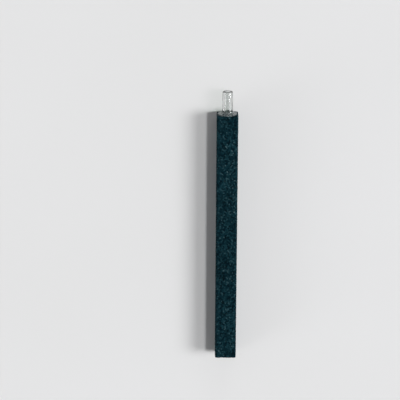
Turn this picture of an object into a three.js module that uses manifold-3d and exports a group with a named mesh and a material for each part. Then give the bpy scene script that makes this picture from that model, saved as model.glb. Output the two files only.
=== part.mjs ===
// A bar-shaped aquarium air stone, in millimetres, +Z up.
// The bar lies along X on its flat underside, and its airline nipple points along +X.
// The origin is the centre of the underside.
//
// Air enters the nipple, fills the blind channel down the middle of the bar, and leaves through
// the pores between the bonded grains. Resin holds the nipple's shank in the mouth of the channel.
import * as THREE from "three";
import { mergeVertices } from "three/addons/utils/BufferGeometryUtils.js";
import Module from "manifold-3d";

const wasm = await Module();
wasm.setup();

// Driving dimensions.
const BAR = {
  length: 150,
  width: 12.7,
  height: 12.7,
  edgeRadius: 1.2, // the four long edges
  endRadius: 0.5, // the rims of both ends
};
const CHANNEL = {
  mouthDiameter: 7.4,
  farDiameter: 6.2, // the core that leaves the channel tapers, so that it can be drawn out
  farWall: 9, // solid stone past the channel's tip
  tipLength: 2,
};
const NIPPLE = {
  stubLength: 13.4, // what stands out of the bar
  stubDiameter: 6.2,
  tipDiameter: 5.9,
  tipRound: 0.6,
  boreDiameter: 2.8,
  boreChamfer: 0.25,
  shankLength: 10.5, // what is glued into the channel
  shankLeadIn: 0.5,
  grooveCount: 3, // the resin keys into these
  groovePitch: 2.4,
  grooveWidth: 1.2,
  grooveDepth: 0.4,
};
const RESIN = {
  sleeveLength: 9,
  poolDiameter: 11.6, // it spreads over nearly the whole end face
  poolThickness: 0.5,
  poolRound: 0.3,
  filletRadius: 1.2, // hollow, where the pool climbs the stub
  filletEdge: 0.2,
};
const GAP = 0.1; // between pieces that touch

const ROUND_SEGMENTS = 48;
const EDGE_SEGMENTS = 5;

const BAR_END = BAR.length / 2;
const AXIS_HEIGHT = BAR.height / 2;
const CHANNEL_DEPTH = BAR.length - CHANNEL.farWall - CHANNEL.tipLength; // its tapered length

const materials = {
  stone: new THREE.MeshStandardMaterial({ color: 0x1b3d45, roughness: 0.75, metalness: 0 }),
  clearPlastic: new THREE.MeshStandardMaterial({
    color: 0xdfe8e4,
    roughness: 0.08,
    metalness: 0,
    transparent: true,
    opacity: 0.35,
  }),
  resin: new THREE.MeshStandardMaterial({
    color: 0x9fa89a,
    roughness: 0.2,
    metalness: 0,
    transparent: true,
    opacity: 0.7,
  }),
};

// A closed geometry as a manifold-3d solid, with its shared vertices merged.
function solidOf(geometry) {
  const bare = geometry.clone();
  bare.deleteAttribute("normal");
  bare.deleteAttribute("uv");
  const merged = mergeVertices(bare, 1e-4);
  return new wasm.Manifold(
    new wasm.Mesh({
      numProp: 3,
      vertProperties: new Float32Array(merged.attributes.position.array),
      triVerts: new Uint32Array(merged.index.array),
    }),
  );
}

function geometryOf(solid) {
  const mesh = solid.getMesh();
  const geometry = new THREE.BufferGeometry();
  geometry.setAttribute("position", new THREE.BufferAttribute(mesh.vertProperties, 3));
  geometry.setIndex(new THREE.BufferAttribute(mesh.triVerts, 1));
  geometry.computeVertexNormals();
  return geometry;
}

// A solid of revolution about +Y from [radius, height] points that start and end on the axis or
// close on themselves.
function turned(points) {
  return new THREE.LatheGeometry(
    points.map(([radius, height]) => new THREE.Vector2(radius, height)),
    ROUND_SEGMENTS,
  );
}

// Points on a round corner about [radius, height], from facing outwards to facing up.
function quarterArc(radius, height, cornerRadius) {
  return Array.from({ length: EDGE_SEGMENTS + 1 }, (_, i) => {
    const angle = ((Math.PI / 2) * i) / EDGE_SEGMENTS;
    return [radius + cornerRadius * Math.cos(angle), height + cornerRadius * Math.sin(angle)];
  });
}

// The bar's cross-section, a rectangle with rounded corners.
function barSection() {
  const halfHeight = BAR.height / 2;
  const halfWidth = BAR.width / 2;
  const r = BAR.edgeRadius;
  const shape = new THREE.Shape();
  shape.moveTo(-halfHeight + r, -halfWidth);
  shape.lineTo(halfHeight - r, -halfWidth);
  shape.absarc(halfHeight - r, -halfWidth + r, r, -Math.PI / 2, 0);
  shape.lineTo(halfHeight, halfWidth - r);
  shape.absarc(halfHeight - r, halfWidth - r, r, 0, Math.PI / 2);
  shape.lineTo(-halfHeight + r, halfWidth);
  shape.absarc(-halfHeight + r, halfWidth - r, r, Math.PI / 2, Math.PI);
  shape.lineTo(-halfHeight, -halfWidth + r);
  shape.absarc(-halfHeight + r, -halfWidth + r, r, Math.PI, 1.5 * Math.PI);
  return shape;
}

// The tapered channel's radius at a depth below its mouth.
function channelRadius(depth) {
  const drawn = (CHANNEL.mouthDiameter - CHANNEL.farDiameter) * (depth / CHANNEL_DEPTH);
  return (CHANNEL.mouthDiameter - drawn) / 2;
}

// The bar is drawn along +Z about its own centre, and the channel is cut from its +Z end.
function porousBodyGeometry() {
  const bar = new THREE.ExtrudeGeometry(barSection(), {
    depth: BAR.length - 2 * BAR.endRadius,
    curveSegments: EDGE_SEGMENTS,
    bevelEnabled: true,
    bevelThickness: BAR.endRadius,
    bevelSize: BAR.endRadius,
    bevelOffset: -BAR.endRadius,
    bevelSegments: EDGE_SEGMENTS,
  });
  bar.translate(0, 0, -BAR_END + BAR.endRadius);

  const tip = -BAR_END + CHANNEL.farWall;
  const past = BAR_END + 1; // the cutter stands out of the mouth, for a clean cut
  const channel = turned([
    [0, tip],
    [channelRadius(CHANNEL_DEPTH) / 2, tip],
    [channelRadius(CHANNEL_DEPTH), tip + CHANNEL.tipLength],
    [channelRadius(0), BAR_END],
    [channelRadius(0), past],
    [0, past],
  ]).rotateX(Math.PI / 2);
  return geometryOf(solidOf(bar).subtract(solidOf(channel)));
}

// The shank's outline from just above its lead-in to the bar's end face, with its grooves.
// Height 0 is the bar's end face, and `clearance` widens the outline.
function shankOutline(clearance) {
  const radius = NIPPLE.stubDiameter / 2 + clearance;
  const floor = radius - NIPPLE.grooveDepth;
  const slope = NIPPLE.grooveWidth / 4;
  const grooves = Array.from({ length: NIPPLE.grooveCount }, (_, i) => {
    const middle = -NIPPLE.groovePitch * (NIPPLE.grooveCount - i - 0.25);
    const low = middle - NIPPLE.grooveWidth / 2;
    const high = middle + NIPPLE.grooveWidth / 2;
    return [
      [radius, low],
      [floor, low + slope],
      [floor, high - slope],
      [radius, high],
    ];
  });
  return [...grooves.flat(), [radius, 0]];
}

function nippleGeometry() {
  const bore = NIPPLE.boreDiameter / 2;
  const stub = NIPPLE.stubDiameter / 2;
  const tip = NIPPLE.tipDiameter / 2;
  const inner = -NIPPLE.shankLength;
  const top = NIPPLE.stubLength;
  return turned([
    [bore, inner],
    [stub - NIPPLE.shankLeadIn, inner],
    [stub, inner + NIPPLE.shankLeadIn],
    ...shankOutline(0),
    ...quarterArc(tip - NIPPLE.tipRound, top - NIPPLE.tipRound, NIPPLE.tipRound),
    [bore + NIPPLE.boreChamfer, top],
    [bore, top - NIPPLE.boreChamfer],
    [bore, inner],
  ]);
}

// Resin round the shank and in its grooves, and spread over the bar's end face in a thin pool
// that climbs the stub in a hollow fillet.
function resinGeometry() {
  const sleeve = channelRadius(RESIN.sleeveLength) - GAP;
  const inside = NIPPLE.stubDiameter / 2 + GAP;
  const pool = RESIN.poolDiameter / 2;
  const level = GAP + RESIN.poolThickness;
  const filletCentre = inside + RESIN.filletEdge + RESIN.filletRadius;
  const crest = level + RESIN.filletRadius;
  const fillet = Array.from({ length: EDGE_SEGMENTS + 1 }, (_, i) => {
    const angle = ((Math.PI / 2) * i) / EDGE_SEGMENTS;
    return [
      filletCentre - RESIN.filletRadius * Math.sin(angle),
      crest - RESIN.filletRadius * Math.cos(angle),
    ];
  });
  return turned([
    [inside, -RESIN.sleeveLength],
    [sleeve, -RESIN.sleeveLength],
    [sleeve, GAP],
    [pool, GAP],
    ...quarterArc(pool - RESIN.poolRound, level - RESIN.poolRound, RESIN.poolRound),
    ...fillet,
    [inside, crest],
    ...shankOutline(GAP).reverse(),
    [inside, -RESIN.sleeveLength],
  ]);
}

function named(name, geometry, material) {
  const mesh = new THREE.Mesh(geometry, material);
  mesh.name = name;
  return mesh;
}

// The bar's own +Z turns to the part's +X.
const porousBody = named("porous_body", porousBodyGeometry(), materials.stone);
porousBody.position.z = AXIS_HEIGHT;
porousBody.rotation.y = Math.PI / 2;

// What is turned about +Y stands on the bar's end face, with that axis along the part's +X.
const inlet = new THREE.Group();
inlet.position.set(BAR_END, 0, AXIS_HEIGHT);
inlet.rotation.z = -Math.PI / 2;
inlet.add(
  named("airline_nipple", nippleGeometry(), materials.clearPlastic),
  named("resin_seal", resinGeometry(), materials.resin),
);

const airStone = new THREE.Group();
airStone.add(porousBody, inlet);

export default airStone;
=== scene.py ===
"""A bar-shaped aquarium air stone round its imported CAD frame. Lengths are in metres, +Z is up.

The bar lies along X on the floor, with its airline nipple towards +X. Its skin is built grain by
grain: each grain is a small tilted dome, grains that touch meet in a low neck, and a pore opens
between every three of them.
"""

import math

import bpy
import numpy as np
from mathutils import Matrix, Vector
from mathutils.geometry import delaunay_2d_cdt
from mathutils.kdtree import KDTree


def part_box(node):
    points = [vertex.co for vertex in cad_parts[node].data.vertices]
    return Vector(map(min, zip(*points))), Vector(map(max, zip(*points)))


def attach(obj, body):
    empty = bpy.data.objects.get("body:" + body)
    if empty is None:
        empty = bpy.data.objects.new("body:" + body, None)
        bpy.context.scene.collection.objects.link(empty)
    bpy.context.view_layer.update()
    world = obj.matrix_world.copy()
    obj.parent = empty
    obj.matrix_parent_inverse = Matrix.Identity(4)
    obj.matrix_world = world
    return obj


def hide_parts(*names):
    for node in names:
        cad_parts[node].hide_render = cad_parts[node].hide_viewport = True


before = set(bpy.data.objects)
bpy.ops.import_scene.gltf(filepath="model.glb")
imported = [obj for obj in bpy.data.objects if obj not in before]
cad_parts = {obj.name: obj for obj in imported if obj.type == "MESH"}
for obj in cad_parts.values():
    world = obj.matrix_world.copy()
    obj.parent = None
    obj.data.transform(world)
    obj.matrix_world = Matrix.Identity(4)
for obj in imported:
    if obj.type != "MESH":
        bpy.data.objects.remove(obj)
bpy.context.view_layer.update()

MM = 0.001
random = np.random.default_rng(15)

# The bar, from its CAD box. AXIS is its (y, z).
BAR_LOW, BAR_HIGH = (np.array(corner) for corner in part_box("porous_body"))
BAR_END = BAR_HIGH[0]
HALF_WIDTH = (BAR_HIGH[1] - BAR_LOW[1]) / 2
AXIS = ((BAR_LOW + BAR_HIGH) / 2)[1:]
EDGE_RADIUS = 1.2 * MM
END_RADIUS = 0.5 * MM
MOUTH_RADIUS = 3.7 * MM
CHANNEL_END_RADIUS = 3.1 * MM
CHANNEL_DEPTH = 141 * MM
CHANNEL_TAPER = (MOUTH_RADIUS - CHANNEL_END_RADIUS) / CHANNEL_DEPTH

# Grains. A spacing is the least distance between two centres.
GRAIN_SPACING = 0.655 * MM
CHANNEL_SPACING = 2.6 * MM
RIM_SPACING = 1.3 * GRAIN_SPACING  # along the lines where two patches of surface meet
RIM_GAP = 0.4 * GRAIN_SPACING  # between such a line and the grains scattered beside it
CANDIDATES_PER_GRAIN = 14
CELL_AREA = 1.44  # mean area of a grain's cell, in squared spacings
NECK_REACH = (0.30, 0.40)  # where a grain's shoulder lies on the way to its neighbour's centre
SHOULDER_DROP = (0.05 * MM, 0.13 * MM)
TILT = 0.16
PROUD_RANGE = 0.10 * MM  # the grains against the mould wall lie within this depth
SUNK_SHARE = 0.13
EDGE_SUNK_SHARE = 0.25
EDGE_NORMAL = 0.97  # on an edge, no part of a grain's normal is as large as this
SUNK_DEPTH = (0.16 * MM, 0.42 * MM)
PORE_DEPTH = (0.20 * MM, 0.46 * MM)
LEAST_DROP = 0.01 * MM
DEEPEST = 0.7 * MM
PALE_SHARE = 0.02
GRAIN_TONES = [
    (0.0, (0.0003, 0.0036, 0.0075)),
    (0.3, (0.0008, 0.0125, 0.0195)),
    (0.6, (0.0070, 0.0340, 0.0450)),
    (0.85, (0.0290, 0.0670, 0.0800)),
    (1.0, (0.0540, 0.1010, 0.1140)),
]
# Painted shade: the pores are darkened towards this colour by their depth, in place of the shade
# that falls in them.
PAINTED_SHADE_IN_PORES = (0.0015, 0.0050, 0.0065)
PORE_SHADE = 0.85  # how much of that painted shade the deepest pores take on
SHADED_DEPTHS = (0.18, 0.85)  # where it starts and is full, as shares of DEEPEST
SHEET_SIZE = 108 * MM  # the side of the texture sheet that the bar's skin is laid out on
SHEET_GAP = 3 * MM
NET_OVERLAP = 6 * MM  # how far a patch that closes on itself runs past its seam
SAME_PLACE = 1e-7  # in mm, the distance at which two places are one

# The nipple and its resin.
STUB_LENGTH = 13.4 * MM
NIPPLE_RADIUS = 3.1 * MM
TIP_RADIUS = 2.95 * MM
TIP_ROUND = 0.6 * MM
BORE_RADIUS = 1.4 * MM
BORE_ROUND = 0.2 * MM
SHANK_LENGTH = 10.5 * MM
LEAD_IN = 0.5 * MM
GROOVE_COUNT = 3
GROOVE_PITCH = 2.4 * MM
GROOVE_WIDTH = 1.2 * MM
GROOVE_DEPTH = 0.4 * MM
PARTING_HEIGHT = 0.04 * MM
PARTING_START = BORE_RADIUS + 1.2 * MM  # the parting line shows outside this radius
SAME_ANGLE = 0.01
NIPPLE_SEGMENTS = 96
SLEEVE_LENGTH = 9 * MM
SLEEVE_GAP = 0.1 * MM  # between the sleeve and the channel's wall
RESIN_GAP = 0.02 * MM  # between the resin and the nipple
POOL_RADIUS = 5.75 * MM
POOL_THICKNESS = 0.45 * MM
POOL_ROUND = 0.35 * MM
POOL_SEEP = 0.15 * MM  # how far the resin sinks in between the grains
POOL_SPREAD = 0.25 * MM  # how much its edge wanders
POOL_RISE = 0.4 * MM  # how far it sits above the nipple's axis
POOL_WAVES = (1, 2, 4, 7, 12, 19)  # waves in its edge for each turn round it
FILLET_RADIUS = 1.1 * MM
FILLET_EDGE = 0.12 * MM
CLIMB_SPREAD = 0.3  # how unevenly the fillet climbs the stub

# The view and the light.
LENS = 176.8
CAMERA_TILT = math.radians(16.8)
CAMERA_DISTANCE = 1.16
CAMERA_ROLL = math.radians(0.32)
AIM = Vector((22.3 * MM, 15.75 * MM, 6 * MM))
FLOOR_REACH = 4
FLOOR_Z = -0.05 * MM
# Each lamp: the direction it shines from, how wide it looks in degrees, and its strength.
LAMPS = {
    "key": ((0.05, -0.5, 1.0), 7, 1.1),
    "side_light": ((0.05, -1.35, 1.0), 24, 2.2),
    "fill": ((-0.5, 1.0, 0.12), 30, 1.2),
    "end_light": ((1.0, -0.2, 0.35), 20, 0.25),
}
HORIZON = 0.7
ZENITH = 0.06


# ---------------------------------------------------------------------------------- surfaces

OUTLINE_FLAT = 2 * (HALF_WIDTH - EDGE_RADIUS)
OUTLINE_ARC = EDGE_RADIUS * math.pi / 2
OUTLINE_LENGTH = 4 * (OUTLINE_FLAT + OUTLINE_ARC)
RIM_LEAN = math.pi / 4  # the sides and an end meet half-way round the end's rounded rim
RIM_X = BAR_END - END_RADIUS * (1 - math.sin(RIM_LEAN))
RIM_INSET = END_RADIUS * (1 - math.cos(RIM_LEAN))


def outline(along):
    """Points and outward normals of the bar's rounded square, at distances along it.

    They are (y, z) about the bar's axis."""
    side = np.floor(along / (OUTLINE_FLAT + OUTLINE_ARC))
    rest = along - side * (OUTLINE_FLAT + OUTLINE_ARC)
    turn = np.clip(rest - OUTLINE_FLAT, 0, None) / EDGE_RADIUS
    out = OUTLINE_FLAT / 2 + EDGE_RADIUS * np.cos(turn)
    over = np.minimum(rest, OUTLINE_FLAT) - OUTLINE_FLAT / 2 + EDGE_RADIUS * np.sin(turn)
    angle = side * math.pi / 2
    cos, sin = np.cos(angle), np.sin(angle)
    points = np.column_stack([out * cos - over * sin, out * sin + over * cos])
    normals = np.column_stack([np.cos(angle + turn), np.sin(angle + turn)])
    return points, normals


def side_surface(param):
    """The bar's four long sides, at (x, distance along the outline)."""
    points, normals = outline(param[:, 1] % OUTLINE_LENGTH)
    past = np.clip(np.abs(param[:, 0]) - (BAR_END - END_RADIUS), 0, END_RADIUS)
    lean = np.arcsin(past / END_RADIUS)
    inset = END_RADIUS * (1 - np.cos(lean))
    places = np.column_stack([param[:, 0], points - normals * inset[:, None] + AXIS])
    lengthwise = np.sign(param[:, 0]) * np.sin(lean)
    return places, np.column_stack([lengthwise, normals * np.cos(lean)[:, None]])


def end_surface(side):
    """The surface of an end of the bar, at (y, z) about its axis, where side is 1 or -1."""

    def surface(param):
        past = np.abs(param) - OUTLINE_FLAT / 2
        corner = np.clip(past, 0, None)
        inset = EDGE_RADIUS - np.hypot(*corner.T) - np.minimum(past.max(1), 0)
        lean = np.clip(1 - inset / END_RADIUS, 0, 1)
        level = np.sqrt(1 - lean**2)
        length = np.maximum(np.hypot(*corner.T), 1e-12)
        outward = np.sign(param) * corner / length[:, None]
        x = side * (BAR_END - END_RADIUS * (1 - level))
        normals = np.column_stack([side * level, outward * lean[:, None]])
        return np.column_stack([x, param + AXIS]), normals

    return surface


def channel_surface(param):
    """The air channel's wall, at (depth below the mouth, distance round the mouth's circle)."""
    radius = MOUTH_RADIUS - CHANNEL_TAPER * param[:, 0]
    angle = param[:, 1] / MOUTH_RADIUS
    out = np.column_stack([np.cos(angle), np.sin(angle)])
    places = np.column_stack([BAR_END - param[:, 0], out * radius[:, None] + AXIS])
    return places, np.column_stack([np.zeros(len(param)), -out])


def channel_floor(param):
    """The channel's closed end, at (y, z) about its axis."""
    depth = np.full(len(param), BAR_END - CHANNEL_DEPTH)
    return np.column_stack([depth, param + AXIS]), np.tile([1.0, 0, 0], (len(param), 1))


# ------------------------------------------------------------------------------------- seeds
# A seed is a grain's centre. A patch is a stretch of surface that unrolls flat, and neighbouring
# patches share the seeds on the line between them.


class Patch:
    """A patch of surface, with its place on the texture sheet and the seeds that lie on it."""

    def __init__(self, surface, sheet_corner, sheet_scale=1.0, period=None, fold=None):
        self.surface = surface
        self.sheet_corner = np.array(sheet_corner)
        self.sheet_scale = sheet_scale
        self.period = period  # the way round a patch that closes on itself
        self.fold = fold  # how the half past the middle is moved on the texture sheet
        self.seeds = []  # seed numbers
        self.params = []  # their places on the flat patch
        self.loops = []  # closed lines of places in self.seeds

    def add(self, numbers, params):
        """Puts seeds on the patch, and gives their places in self.seeds."""
        first = len(self.seeds)
        self.seeds += list(numbers)
        self.params += list(params)
        return list(range(first, len(self.seeds)))

    def add_rim(self, numbers, params):
        """Puts seeds along one of the patch's edges."""
        rim = self.add(numbers, params)
        if self.period is None:
            self.loops.append([*rim, rim[0]])

    def on_sheet(self, params):
        """Where places on the flat patch lie on the texture sheet, in metres."""
        flat = params * self.sheet_scale + self.sheet_corner
        if self.fold:
            flat[params[:, :, 0].mean(1) > 0] += self.fold
        return flat


class Seeds:
    """All the grains' centres, with each one's surface normal."""

    def __init__(self):
        self.places = np.zeros((0, 3))
        self.normals = np.zeros((0, 3))
        self.spacing = np.zeros(0)

    def add(self, places, normals, spacing):
        """Adds seeds, and gives their numbers."""
        first = len(self.places)
        self.places = np.vstack([self.places, places])
        self.normals = np.vstack([self.normals, normals])
        self.spacing = np.append(self.spacing, np.full(len(places), spacing))
        return np.arange(first, len(self.places))

    def thin_out(self, kept_first):
        """Drops each seed that lies within an earlier one's spacing, except the first few."""
        tree = KDTree(len(self.places))
        for i, place in enumerate(self.places):
            tree.insert(place, i)
        tree.balance()
        left = np.ones(len(self.places), bool)
        for i, place in enumerate(self.places):
            if left[i]:
                for _, near, _ in tree.find_range(place, self.spacing[i]):
                    if near > i and near >= kept_first:
                        left[near] = False
        return left


def rim_shares(length, spacing):
    """Nearly even places along a closed line, as shares of its length."""
    count = round(length / spacing)
    return (np.arange(count) + random.uniform(-0.1, 0.1, count)) / count


def circle(radius, shares):
    """Points on a circle, at shares of the way round it."""
    angle = 2 * math.pi * shares
    return np.column_stack([radius * np.cos(angle), radius * np.sin(angle)])


def scattered(low, high, spacing):
    """Random places in a rectangle, many for each grain that will find room."""
    low, high = np.array(low), np.array(high)
    area = np.prod(high - low)
    count = int(area / (CELL_AREA * spacing**2) * CANDIDATES_PER_GRAIN)
    return random.uniform(low, high, (count, 2))


def make_patches():
    """The bar's patches, spread out over the texture sheet."""
    gap = SHEET_GAP
    sides = Patch(
        side_surface,
        (BAR_END + gap, gap),
        period=OUTLINE_LENGTH,
        fold=(-BAR_END, OUTLINE_LENGTH + gap),
    )
    beside = BAR_END + 3 * gap + HALF_WIDTH
    far_end = Patch(end_surface(-1), (beside, gap + HALF_WIDTH))
    mouth_end = Patch(end_surface(1), (beside, 2 * gap + 3 * HALF_WIDTH))
    channel = Patch(
        channel_surface,
        (beside - HALF_WIDTH, 3 * gap + 4 * HALF_WIDTH),
        sheet_scale=0.1,
        period=2 * math.pi * MOUTH_RADIUS,
    )
    floor = Patch(channel_floor, (beside, 5 * gap + 4 * HALF_WIDTH), sheet_scale=0.5)
    return sides, far_end, mouth_end, channel, floor


def lay_end_rim(seeds, sides, end, side):
    """Seeds round the rim of an end of the bar, where side is 1 or -1."""
    along = rim_shares(OUTLINE_LENGTH, RIM_SPACING) * OUTLINE_LENGTH % OUTLINE_LENGTH
    param = np.column_stack([np.full(len(along), side * RIM_X), along])
    points, normals = outline(along)
    numbers = seeds.add(*side_surface(param), GRAIN_SPACING)
    sides.add_rim(numbers, param)
    end.add_rim(numbers, points - normals * RIM_INSET)


def lay_mouth_rim(seeds, end, channel):
    """Seeds round the channel's mouth, which lean half-way into it."""
    shares = rim_shares(2 * math.pi * MOUTH_RADIUS, RIM_SPACING) % 1
    mouth = circle(MOUTH_RADIUS, shares)
    places = np.column_stack([np.full(len(mouth), BAR_END), mouth + AXIS])
    normals = np.column_stack([np.ones(len(mouth)), -mouth / MOUTH_RADIUS])
    numbers = seeds.add(places, normals / math.sqrt(2), GRAIN_SPACING)
    end.add_rim(numbers, mouth)
    around = shares * channel.period
    channel.add_rim(numbers, np.column_stack([np.zeros(len(around)), around]))


def lay_floor_rim(seeds, channel, floor):
    """Seeds round the channel's closed end."""
    shares = rim_shares(2 * math.pi * CHANNEL_END_RADIUS, CHANNEL_SPACING) % 1
    around = np.column_stack([np.full(len(shares), CHANNEL_DEPTH), shares * channel.period])
    numbers = seeds.add(*channel_surface(around), CHANNEL_SPACING)
    channel.add_rim(numbers, around)
    floor.add_rim(numbers, circle(CHANNEL_END_RADIUS, shares))


def end_spots(least_radius):
    """Random places on an end of the bar, inside its rim and outside a circle."""
    reach = HALF_WIDTH - RIM_INSET - RIM_GAP
    spots = scattered([-reach, -reach], [reach, reach], GRAIN_SPACING)
    past = np.clip(np.abs(spots) - OUTLINE_FLAT / 2, 0, None)
    spots = spots[np.hypot(*past.T) < EDGE_RADIUS - RIM_INSET - RIM_GAP]
    return spots[np.hypot(*spots.T) > least_radius]


def lay_seeds():
    """The seeds, the patches that hold them, and how many seeds lie on rims."""
    seeds = Seeds()
    patches = make_patches()
    sides, far_end, mouth_end, channel, floor = patches
    lay_end_rim(seeds, sides, far_end, -1)
    lay_end_rim(seeds, sides, mouth_end, 1)
    lay_mouth_rim(seeds, mouth_end, channel)
    lay_floor_rim(seeds, channel, floor)
    rim_count = len(seeds.places)

    along = RIM_X - RIM_GAP
    fills = [
        (sides, scattered([-along, 0], [along, OUTLINE_LENGTH], GRAIN_SPACING)),
        (channel, scattered([RIM_GAP, 0], [CHANNEL_DEPTH - MM, channel.period], CHANNEL_SPACING)),
        (floor, np.zeros((1, 2))),
        (far_end, end_spots(0)),
        (mouth_end, end_spots(MOUTH_RADIUS + RIM_GAP)),
    ]
    for patch, spots in fills:
        spacing = CHANNEL_SPACING if patch in (channel, floor) else GRAIN_SPACING
        patch.add(seeds.add(*patch.surface(spots), spacing), spots)
    return seeds, patches, rim_count


def flat_triangles(params, loops):
    """Delaunay triangles of 2-D points, in which each loop of indices is a chain of edges."""
    edges = [pair for loop in loops for pair in zip(loop, loop[1:])]
    found = delaunay_2d_cdt([Vector(p / MM) for p in params], edges, [], 0, SAME_PLACE)
    return np.array([[found[3][v][0] for v in face] for face in found[2]])


def net(patch, left):
    """A patch's triangles: seed numbers, and the flat places of their corners."""
    kept = left[patch.seeds]
    moved_to = np.cumsum(kept) - 1
    numbers = np.array(patch.seeds)[kept]
    params = np.array(patch.params)[kept]
    loops = [[moved_to[i] for i in loop] for loop in patch.loops]
    if patch.period:
        near_start = params[:, 1] < NET_OVERLAP
        near_end = params[:, 1] > patch.period - NET_OVERLAP
        turn = np.array([0, patch.period])
        numbers = np.concatenate([numbers, numbers[near_start], numbers[near_end]])
        params = np.vstack([params, params[near_start] + turn, params[near_end] - turn])
    found = flat_triangles(params, loops)
    middles = params[found].mean(1)
    inside = np.ones(len(found), bool)
    if patch.period:
        inside = (middles[:, 1] >= 0) & (middles[:, 1] < patch.period)
    for hole in patch.loops[1:]:
        inside &= ~np.isin(found, hole).all(1)
    return numbers[found[inside]], params[found[inside]]


# ------------------------------------------------------------------------------------ grains


def outward(numbers, params, seeds):
    """The triangles of a patch, turned to face out of the stone."""
    a, b, c = seeds.places[numbers].transpose(1, 0, 2)
    facing = np.cross(b - a, c - a) * seeds.normals[numbers[:, 0]]
    if facing.sum() < 0:
        return numbers[:, ::-1], params[:, ::-1]
    return numbers, params


def sinks(seeds):
    """How deep each grain's top lies under the moulded surface."""
    count = len(seeds.places)
    on_edge = np.abs(seeds.normals).max(1) < EDGE_NORMAL
    lost = random.random(count) < np.where(on_edge, EDGE_SUNK_SHARE, SUNK_SHARE)
    proud = random.uniform(0, PROUD_RANGE, count)
    return np.where(lost, random.uniform(*SUNK_DEPTH, count), proud)


def grain_tones(count):
    """How light each grain is, from 0 to 1. Most are near the middle, and a few are pale."""
    tone = np.clip(random.normal(0.44, 0.18, count), 0, 0.85)
    return np.where(random.random(count) < PALE_SHARE, random.uniform(0.85, 1, count), tone)


# What each triangle of the net becomes. Places 0 to 2 are its corners, 3 to 8 the shoulders near
# them, and 9 its pore.
GRAIN_TOPS = [(0, 3, 4), (1, 5, 6), (2, 7, 8)]
PORE_SIDES = [(3, 9, 4), (5, 9, 6), (7, 9, 8)]
NECKS = [(3, 6, 9), (5, 8, 9), (7, 4, 9)]
GRAIN_FACES = np.array(GRAIN_TOPS + PORE_SIDES + NECKS)
SHOULDER_NEAR = [0, 0, 1, 1, 2, 2]
SHOULDER_TOWARDS = [1, 2, 2, 0, 0, 1]


def porous_body():
    """The bar: seeds on its whole surface, and a grain over each."""
    seeds, patches, rim_count = lay_seeds()
    left = seeds.thin_out(rim_count)
    nets = [outward(*net(patch, left), seeds) for patch in patches]
    corners = np.vstack([numbers for numbers, _ in nets])
    flat = np.vstack([patch.on_sheet(params) for patch, (_, params) in zip(patches, nets)])

    # Each directed edge of the net has a shoulder.
    count = len(seeds.places)
    codes = corners[:, SHOULDER_NEAR] * count + corners[:, SHOULDER_TOWARDS]
    edges, shoulder = np.unique(codes, return_inverse=True)
    shoulder = shoulder.reshape(codes.shape)
    start, end = edges // count, edges % count

    sink = sinks(seeds)
    tilt = random.normal(0, TILT, (count, 3))
    reach = random.uniform(*NECK_REACH, len(edges))
    step = (seeds.places[end] - seeds.places[start]) * reach[:, None]
    drop = sink[start] + random.uniform(*SHOULDER_DROP, len(edges)) + (tilt[start] * step).sum(1)
    drop = np.maximum(drop, LEAST_DROP)
    tops = seeds.places - seeds.normals * sink[:, None]
    shoulders = seeds.places[start] + step - seeds.normals[start] * drop[:, None]
    depth = random.uniform(*PORE_DEPTH, len(corners)) + sink[corners].mean(1)
    pores = seeds.places[corners].mean(1) - seeds.normals[corners].mean(1) * depth[:, None]
    places = np.vstack([tops, shoulders, pores])

    pore = count + len(edges) + np.arange(len(corners))
    parts = np.column_stack([corners, count + shoulder, pore])
    used, faces = np.unique(parts[:, GRAIN_FACES], return_inverse=True)
    mesh = bpy.data.meshes.new("porous_body_grains")
    mesh.from_pydata(places[used].tolist(), [], faces.reshape(-1, 3).tolist())
    mesh.shade_smooth()

    near, towards = flat[:, SHOULDER_NEAR], flat[:, SHOULDER_TOWARDS]
    flat_shoulders = near + reach[shoulder][..., None] * (towards - near)
    flat_parts = np.concatenate([flat, flat_shoulders, flat.mean(1, keepdims=True)], axis=1)
    unwrapped = mesh.uv_layers.new(name="OFBake")
    unwrapped.data.foreach_set("uv", (flat_parts[:, GRAIN_FACES] / SHEET_SIZE).ravel())

    tone = grain_tones(count)
    low = np.concatenate([sink, drop, depth]) / DEEPEST
    tones = np.concatenate([tone, tone[start], tone[corners].mean(1)])
    for name, values in (("grain_tone", tones), ("grain_depth", low)):
        attribute = mesh.attributes.new(name, "FLOAT", "POINT")
        attribute.data.foreach_set("value", values[used].astype(np.float32))
    return new_object("porous_body_grains", mesh)


# ------------------------------------------------------------------------- nipple and resin


def turned(name, outline_points, segments, warp=None):
    """A closed solid of revolution along the bar's axis.

    outline_points is a closed line of (radius, x past the bar's end), with its inside on its left.
    warp may move the points of one angle's outline."""
    rows = []
    for angle in np.arange(segments) * 2 * math.pi / segments:
        line = np.array(outline_points, float)
        if warp:
            line = warp(line, angle)
        across = line[:, :1] * [[math.cos(angle), math.sin(angle)]]
        rows.append(np.column_stack([BAR_END + line[:, 1], across + AXIS]))
    count = len(outline_points)
    faces = []
    for row in range(segments):
        after = (row + 1) % segments
        for i in range(count):
            j = (i + 1) % count
            faces.append((row * count + i, after * count + i, after * count + j, row * count + j))
    mesh = bpy.data.meshes.new(name)
    mesh.from_pydata(np.vstack(rows).tolist(), [], faces)
    mesh.shade_smooth()
    return new_object(name, mesh)


def corner_arc(radius, x, round_radius, start, stop, steps=6):
    """Points round a corner's centre, from one angle to another, in degrees from facing out."""
    angles = np.radians(np.linspace(start, stop, steps + 1))
    return [(radius + round_radius * math.cos(a), x + round_radius * math.sin(a)) for a in angles]


def shank_outline(clearance):
    """The shank's grooved outline, up to the bar's end."""
    radius = NIPPLE_RADIUS + clearance
    floor = radius - GROOVE_DEPTH
    line = []
    for i in range(GROOVE_COUNT):
        middle = -GROOVE_PITCH * (GROOVE_COUNT - i - 0.25)
        low, high = middle - GROOVE_WIDTH / 2, middle + GROOVE_WIDTH / 2
        slope = GROOVE_WIDTH / 4
        line += [(radius, low), (floor, low + slope), (floor, high - slope), (radius, high)]
    return line


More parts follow.
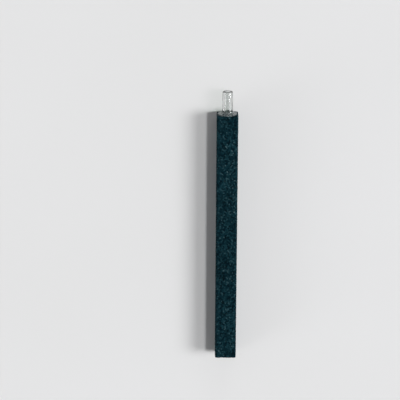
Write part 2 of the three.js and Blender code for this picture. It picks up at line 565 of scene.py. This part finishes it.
def airline_nipple():
    """The nipple: a tube with a grooved shank, a rounded tip and a fine parting line."""

    def parting_line(line, angle):
        """A fine ridge down both sides of the nipple, where the mould's halves met."""
        if min(angle % math.pi, -angle % math.pi) < SAME_ANGLE:
            outside = line[:, 0] > PARTING_START
            line[outside, 0] += PARTING_HEIGHT
        return line

    low, high = -SHANK_LENGTH, STUB_LENGTH
    bore_rim = BORE_RADIUS + BORE_ROUND
    line = [
        *corner_arc(bore_rim, low + BORE_ROUND, BORE_ROUND, 180, 270),
        (NIPPLE_RADIUS - LEAD_IN, low),
        (NIPPLE_RADIUS, low + LEAD_IN),
        *shank_outline(0),
        (NIPPLE_RADIUS, 0),
        *corner_arc(TIP_RADIUS - TIP_ROUND, high - TIP_ROUND, TIP_ROUND, 0, 90),
        *corner_arc(bore_rim, high - BORE_ROUND, BORE_ROUND, 90, 180),
    ]
    return turned("airline_nipple_moulded", line, NIPPLE_SEGMENTS, parting_line)


def resin_seal():
    """The resin: a sleeve round the shank, and a hand-laid pool that climbs the stub."""
    waves = [
        (turns, random.uniform(0, 2 * math.pi), 0.5 / math.sqrt(turns))
        for turns in POOL_WAVES
    ]
    inside = NIPPLE_RADIUS + RESIN_GAP
    fillet_foot = inside + FILLET_EDGE + FILLET_RADIUS

    def uneven(line, angle):
        """Moves the pool's edge in and out, and the fillet's crest up and down."""
        swell = sum(size * math.sin(turns * angle + phase) for turns, phase, size in waves)
        on_end = line[:, 1] >= -POOL_SEEP
        outer = np.clip((line[:, 0] - fillet_foot) / (POOL_RADIUS - fillet_foot), 0, 1)
        line[:, 0] += on_end * outer * (POOL_SPREAD * swell + POOL_RISE * math.sin(angle))
        climb = np.clip(line[:, 1] - POOL_THICKNESS, 0, None)
        line[:, 1] += climb * CLIMB_SPREAD * swell
        return line

    sleeve = MOUTH_RADIUS - CHANNEL_TAPER * SLEEVE_LENGTH - SLEEVE_GAP
    crest = POOL_THICKNESS + FILLET_RADIUS
    line = [
        (inside, -SLEEVE_LENGTH),
        (sleeve, -SLEEVE_LENGTH),
        (sleeve, -POOL_SEEP),
        (POOL_RADIUS, -POOL_SEEP),
        *corner_arc(POOL_RADIUS - POOL_ROUND, POOL_THICKNESS - POOL_ROUND, POOL_ROUND, 0, 90),
        *corner_arc(fillet_foot, crest, FILLET_RADIUS, 270, 180, 8),
        (inside, crest),
        (inside, 0),
        *reversed(shank_outline(RESIN_GAP)),
    ]
    return turned("resin_seal_bead", line, NIPPLE_SEGMENTS, uneven)


# --------------------------------------------------------------------------------- materials


class Material:
    """A node material while it is made."""

    def __init__(self, name):
        self.material = bpy.data.materials.new(name)
        self.material.use_nodes = True
        self.nodes = self.material.node_tree.nodes
        self.links = self.material.node_tree.links
        self.nodes.clear()

    def add(self, kind, inputs=None, **settings):
        """A new node, with its inputs set to values or linked to other nodes' outputs."""
        node = self.nodes.new(kind)
        for name, value in settings.items():
            setattr(node, name, value)
        for name, value in (inputs or {}).items():
            if isinstance(value, bpy.types.NodeSocket):
                self.links.new(value, node.inputs[name])
            else:
                node.inputs[name].default_value = value
        return node

    def noise(self, scale, detail=2.0, roughness=0.5):
        """Noise with about `scale` lumps to the metre."""
        place = self.add("ShaderNodeTexCoord").outputs["Object"]
        inputs = {"Vector": place, "Scale": scale, "Detail": detail, "Roughness": roughness}
        return self.add("ShaderNodeTexNoise", inputs).outputs["Fac"]

    def attribute(self, name):
        return self.add("ShaderNodeAttribute", attribute_name=name).outputs["Fac"]

    def remap(self, value, low, high, from_low=0.0, from_high=1.0):
        """From `low` where the value is from_low to `high` where it is from_high."""
        inputs = {0: value, 1: from_low, 2: from_high, 3: low, 4: high}
        return self.add("ShaderNodeMapRange", inputs).outputs[0]

    def multiply(self, a, b):
        return self.add("ShaderNodeMath", {0: a, 1: b}, operation="MULTIPLY").outputs[0]

    def ramp(self, value, stops):
        """A colour ramp, from (position, colour) stops."""
        node = self.add("ShaderNodeValToRGB", {0: value})
        ramp = node.color_ramp
        while len(ramp.elements) < len(stops):
            ramp.elements.new(1.0)
        for element, (position, colour) in zip(ramp.elements, stops):
            element.position = position
            element.color = (*colour, 1)
        return node.outputs[0]

    def grey_ramp(self, value, stops):
        return self.ramp(value, [(position, (grey,) * 3) for position, grey in stops])

    def blend(self, share, first, second, kind="MIX"):
        inputs = {0: share, 6: first, 7: second}
        return self.add("ShaderNodeMix", inputs, data_type="RGBA", blend_type=kind).outputs[2]

    def bump(self, height, distance, strength=1.0):
        inputs = {"Height": height, "Distance": distance, "Strength": strength}
        return self.add("ShaderNodeBump", inputs).outputs[0]

    def finish(self, surface):
        self.add("ShaderNodeOutputMaterial", {"Surface": surface})
        return self.material


def bonded_grains():
    """Dyed grains of many tones under a thin gloss of resin, with painted shade that darkens them
    nearly to black down in the pores.
    """
    m = Material("bonded_grains")
    tone = m.ramp(m.attribute("grain_tone"), GRAIN_TONES)
    fine = m.grey_ramp(m.noise(2600, 3.0, 0.6), [(0.25, 0.55), (0.5, 1.0), (0.78, 1.6)])
    cloudy = m.grey_ramp(m.noise(55), [(0.3, 0.86), (0.7, 1.14)])
    mottled = m.blend(1.0, m.blend(1.0, tone, fine, "MULTIPLY"), cloudy, "MULTIPLY")
    # Painted shade: the deeper a place lies, the more it takes on the pores' shade colour.
    depth = m.remap(m.attribute("grain_depth"), 0.0, PORE_SHADE, *SHADED_DEPTHS)
    colour = m.blend(depth, mottled, (*PAINTED_SHADE_IN_PORES, 1))
    shallow = m.remap(depth, 1, 0, 0, 0.5)
    glazed = m.multiply(m.remap(m.noise(1700), 1, 0, 0.38, 0.58), shallow)
    surface = m.add(
        "ShaderNodeBsdfPrincipled",
        {
            "Base Color": colour,
            "Roughness": m.remap(glazed, 0.75, 0.3),
            "IOR": 1.5,
            "Specular IOR Level": 0.04,
            "Specular Tint": (0.6, 0.85, 0.95, 1),
            "Normal": m.bump(m.noise(5200, 4.0, 0.65), 0.07 * MM, 0.8),
        },
    )
    return m.finish(surface.outputs[0])


def see_through(m, tint, painted_edge_shade, roughness, ior, clearness, bump, passed):
    """The shader of a clear material with painted shade that darkens it where it is seen edge-on.

    Lamps and the light off the floor pass straight through it, in the tint `passed`."""
    # Painted shade: the base colour darkens towards the edge colour where the surface is seen
    # edge-on.
    facing = m.add("ShaderNodeLayerWeight", {"Blend": 0.5}).outputs["Facing"]
    surface = m.add(
        "ShaderNodeBsdfPrincipled",
        {
            "Base Color": m.blend(m.remap(facing, 0, 1, 0.3, 0.85), tint, painted_edge_shade),
            "Roughness": roughness,
            "IOR": ior,
            "Transmission Weight": clearness,
            "Normal": bump,
        },
    )
    clear = m.add("ShaderNodeBsdfTransparent", {"Color": (*passed, 1)}).outputs[0]
    path = m.add("ShaderNodeLightPath").outputs
    seen = surface.outputs[0]
    for ray in ("Is Diffuse Ray", "Is Shadow Ray"):
        seen = m.add("ShaderNodeMixShader", {0: path[ray], 1: seen, 2: clear}).outputs[0]
    return seen


def clear_plastic():
    """Clear injection-moulded plastic: faint flow lines along it, and scuffs from handling."""
    m = Material("clear_plastic")
    place = m.add("ShaderNodeTexCoord").outputs["Object"]
    drawn_out = m.add("ShaderNodeMapping", {"Vector": place, "Scale": (60, 900, 900)}).outputs[0]
    flow = m.add("ShaderNodeTexNoise", {"Vector": drawn_out, "Scale": 1.0, "Detail": 2.0})
    surface = see_through(
        m,
        tint=(0.83, 0.85, 0.84, 1),
        # the painted shade where the plastic is seen edge-on
        painted_edge_shade=(0.26, 0.29, 0.29, 1),
        roughness=m.remap(m.noise(1500, 4.0, 0.7), 0.02, 0.14, 0.45, 0.8),
        ior=1.49,
        clearness=1.0,
        bump=m.bump(flow.outputs["Fac"], 0.05 * MM, 0.25),
        passed=(0.92, 0.93, 0.92),
    )
    return m.finish(surface)


def clear_resin():
    """Cured casting resin: glossy, with a faint tint and small bubbles that cloud it."""
    m = Material("clear_resin")
    bubbles = m.noise(3200)
    surface = see_through(
        m,
        tint=m.ramp(bubbles, [(0.35, (0.62, 0.70, 0.71)), (0.7, (0.78, 0.84, 0.85))]),
        # the painted shade where the resin is seen edge-on
        painted_edge_shade=(0.34, 0.40, 0.42, 1),
        roughness=m.remap(bubbles, 0.05, 0.2, 0.4, 0.8),
        ior=1.54,
        clearness=0.9,
        bump=m.bump(m.noise(700), 0.12 * MM, 0.4),
        passed=(0.85, 0.88, 0.86),
    )
    return m.finish(surface)


def studio_floor():
    """A matt, nearly even pale grey."""
    m = Material("studio_floor")
    colour = m.ramp(m.noise(4), [(0.3, (0.765,) * 3), (0.7, (0.79, 0.79, 0.795))])
    surface = m.add("ShaderNodeBsdfPrincipled", {"Base Color": colour, "Roughness": 0.7})
    return m.finish(surface.outputs[0])


# ------------------------------------------------------------------------------------- scene


def new_object(name, data):
    made = bpy.data.objects.new(name, data)
    bpy.context.scene.collection.objects.link(made)
    return made


def looking(place, target, up):
    """The matrix of a camera or lamp at a place, facing its target."""
    back = (Vector(place) - Vector(target)).normalized()
    right = Vector(up).cross(back).normalized()
    matrix = Matrix((right, back.cross(right), back)).transposed().to_4x4()
    matrix.translation = place
    return matrix


def camera():
    """The camera above the bar, tilted towards the nipple, with +X up in the picture."""
    data = bpy.data.cameras.new("camera")
    data.sensor_width = 36
    data.lens = LENS
    made = new_object("camera", data)
    away = Vector((math.sin(CAMERA_TILT), 0, math.cos(CAMERA_TILT)))
    level = looking(AIM + away * CAMERA_DISTANCE, AIM, (1, 0, 0))
    made.matrix_world = level @ Matrix.Rotation(CAMERA_ROLL, 4, "Z")
    bpy.context.scene.camera = made


def lamp(name, direction, width, strength):
    """A soft lamp so far away that it lights the whole floor evenly."""
    data = bpy.data.lights.new(name, "SUN")
    data.angle = math.radians(width)
    data.energy = strength
    new_object(name, data).matrix_world = looking(Vector(direction), Vector(), (0, 0, 1))


def stage():
    """A pale floor that runs to the horizon, soft lamps and a pale surround."""
    mesh = bpy.data.meshes.new("studio_floor")
    corners = [(-1, -1), (1, -1), (1, 1), (-1, 1)]
    places = [(x * FLOOR_REACH, y * FLOOR_REACH, FLOOR_Z) for x, y in corners]
    mesh.from_pydata(places, [], [(0, 1, 2, 3)])
    mesh.materials.append(studio_floor())
    new_object("studio_floor", mesh)

    for name, (direction, width, strength) in LAMPS.items():
        lamp(name, direction, width, strength)
    bpy.context.scene.world = surround()
    bpy.context.scene.view_settings.view_transform = "Standard"


def surround():
    """A pale studio, brightest at the horizon and darker overhead."""
    world = bpy.data.worlds.new("surround")
    world.use_nodes = True
    nodes, links = world.node_tree.nodes, world.node_tree.links
    up = nodes.new("ShaderNodeSeparateXYZ")
    links.new(nodes.new("ShaderNodeTexCoord").outputs["Generated"], up.inputs[0])
    level = nodes.new("ShaderNodeMapRange")
    links.new(up.outputs["Z"], level.inputs["Value"])
    heights = {"From Min": 0.05, "From Max": 0.8, "To Min": HORIZON, "To Max": ZENITH}
    for name, value in heights.items():
        level.inputs[name].default_value = value
    links.new(level.outputs[0], nodes["Background"].inputs["Strength"])
    nodes["Background"].inputs["Color"].default_value = (0.97, 0.98, 1, 1)
    return world


camera()
stage()
for piece, node, slot, material in (
    (porous_body(), "porous_body", "bonded_grains", bonded_grains()),
    (airline_nipple(), "airline_nipple", "clear_plastic", clear_plastic()),
    (resin_seal(), "resin_seal", "clear_resin", clear_resin()),
):
    piece.data.materials.append(material)
    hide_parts(node)
    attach(piece, "root")
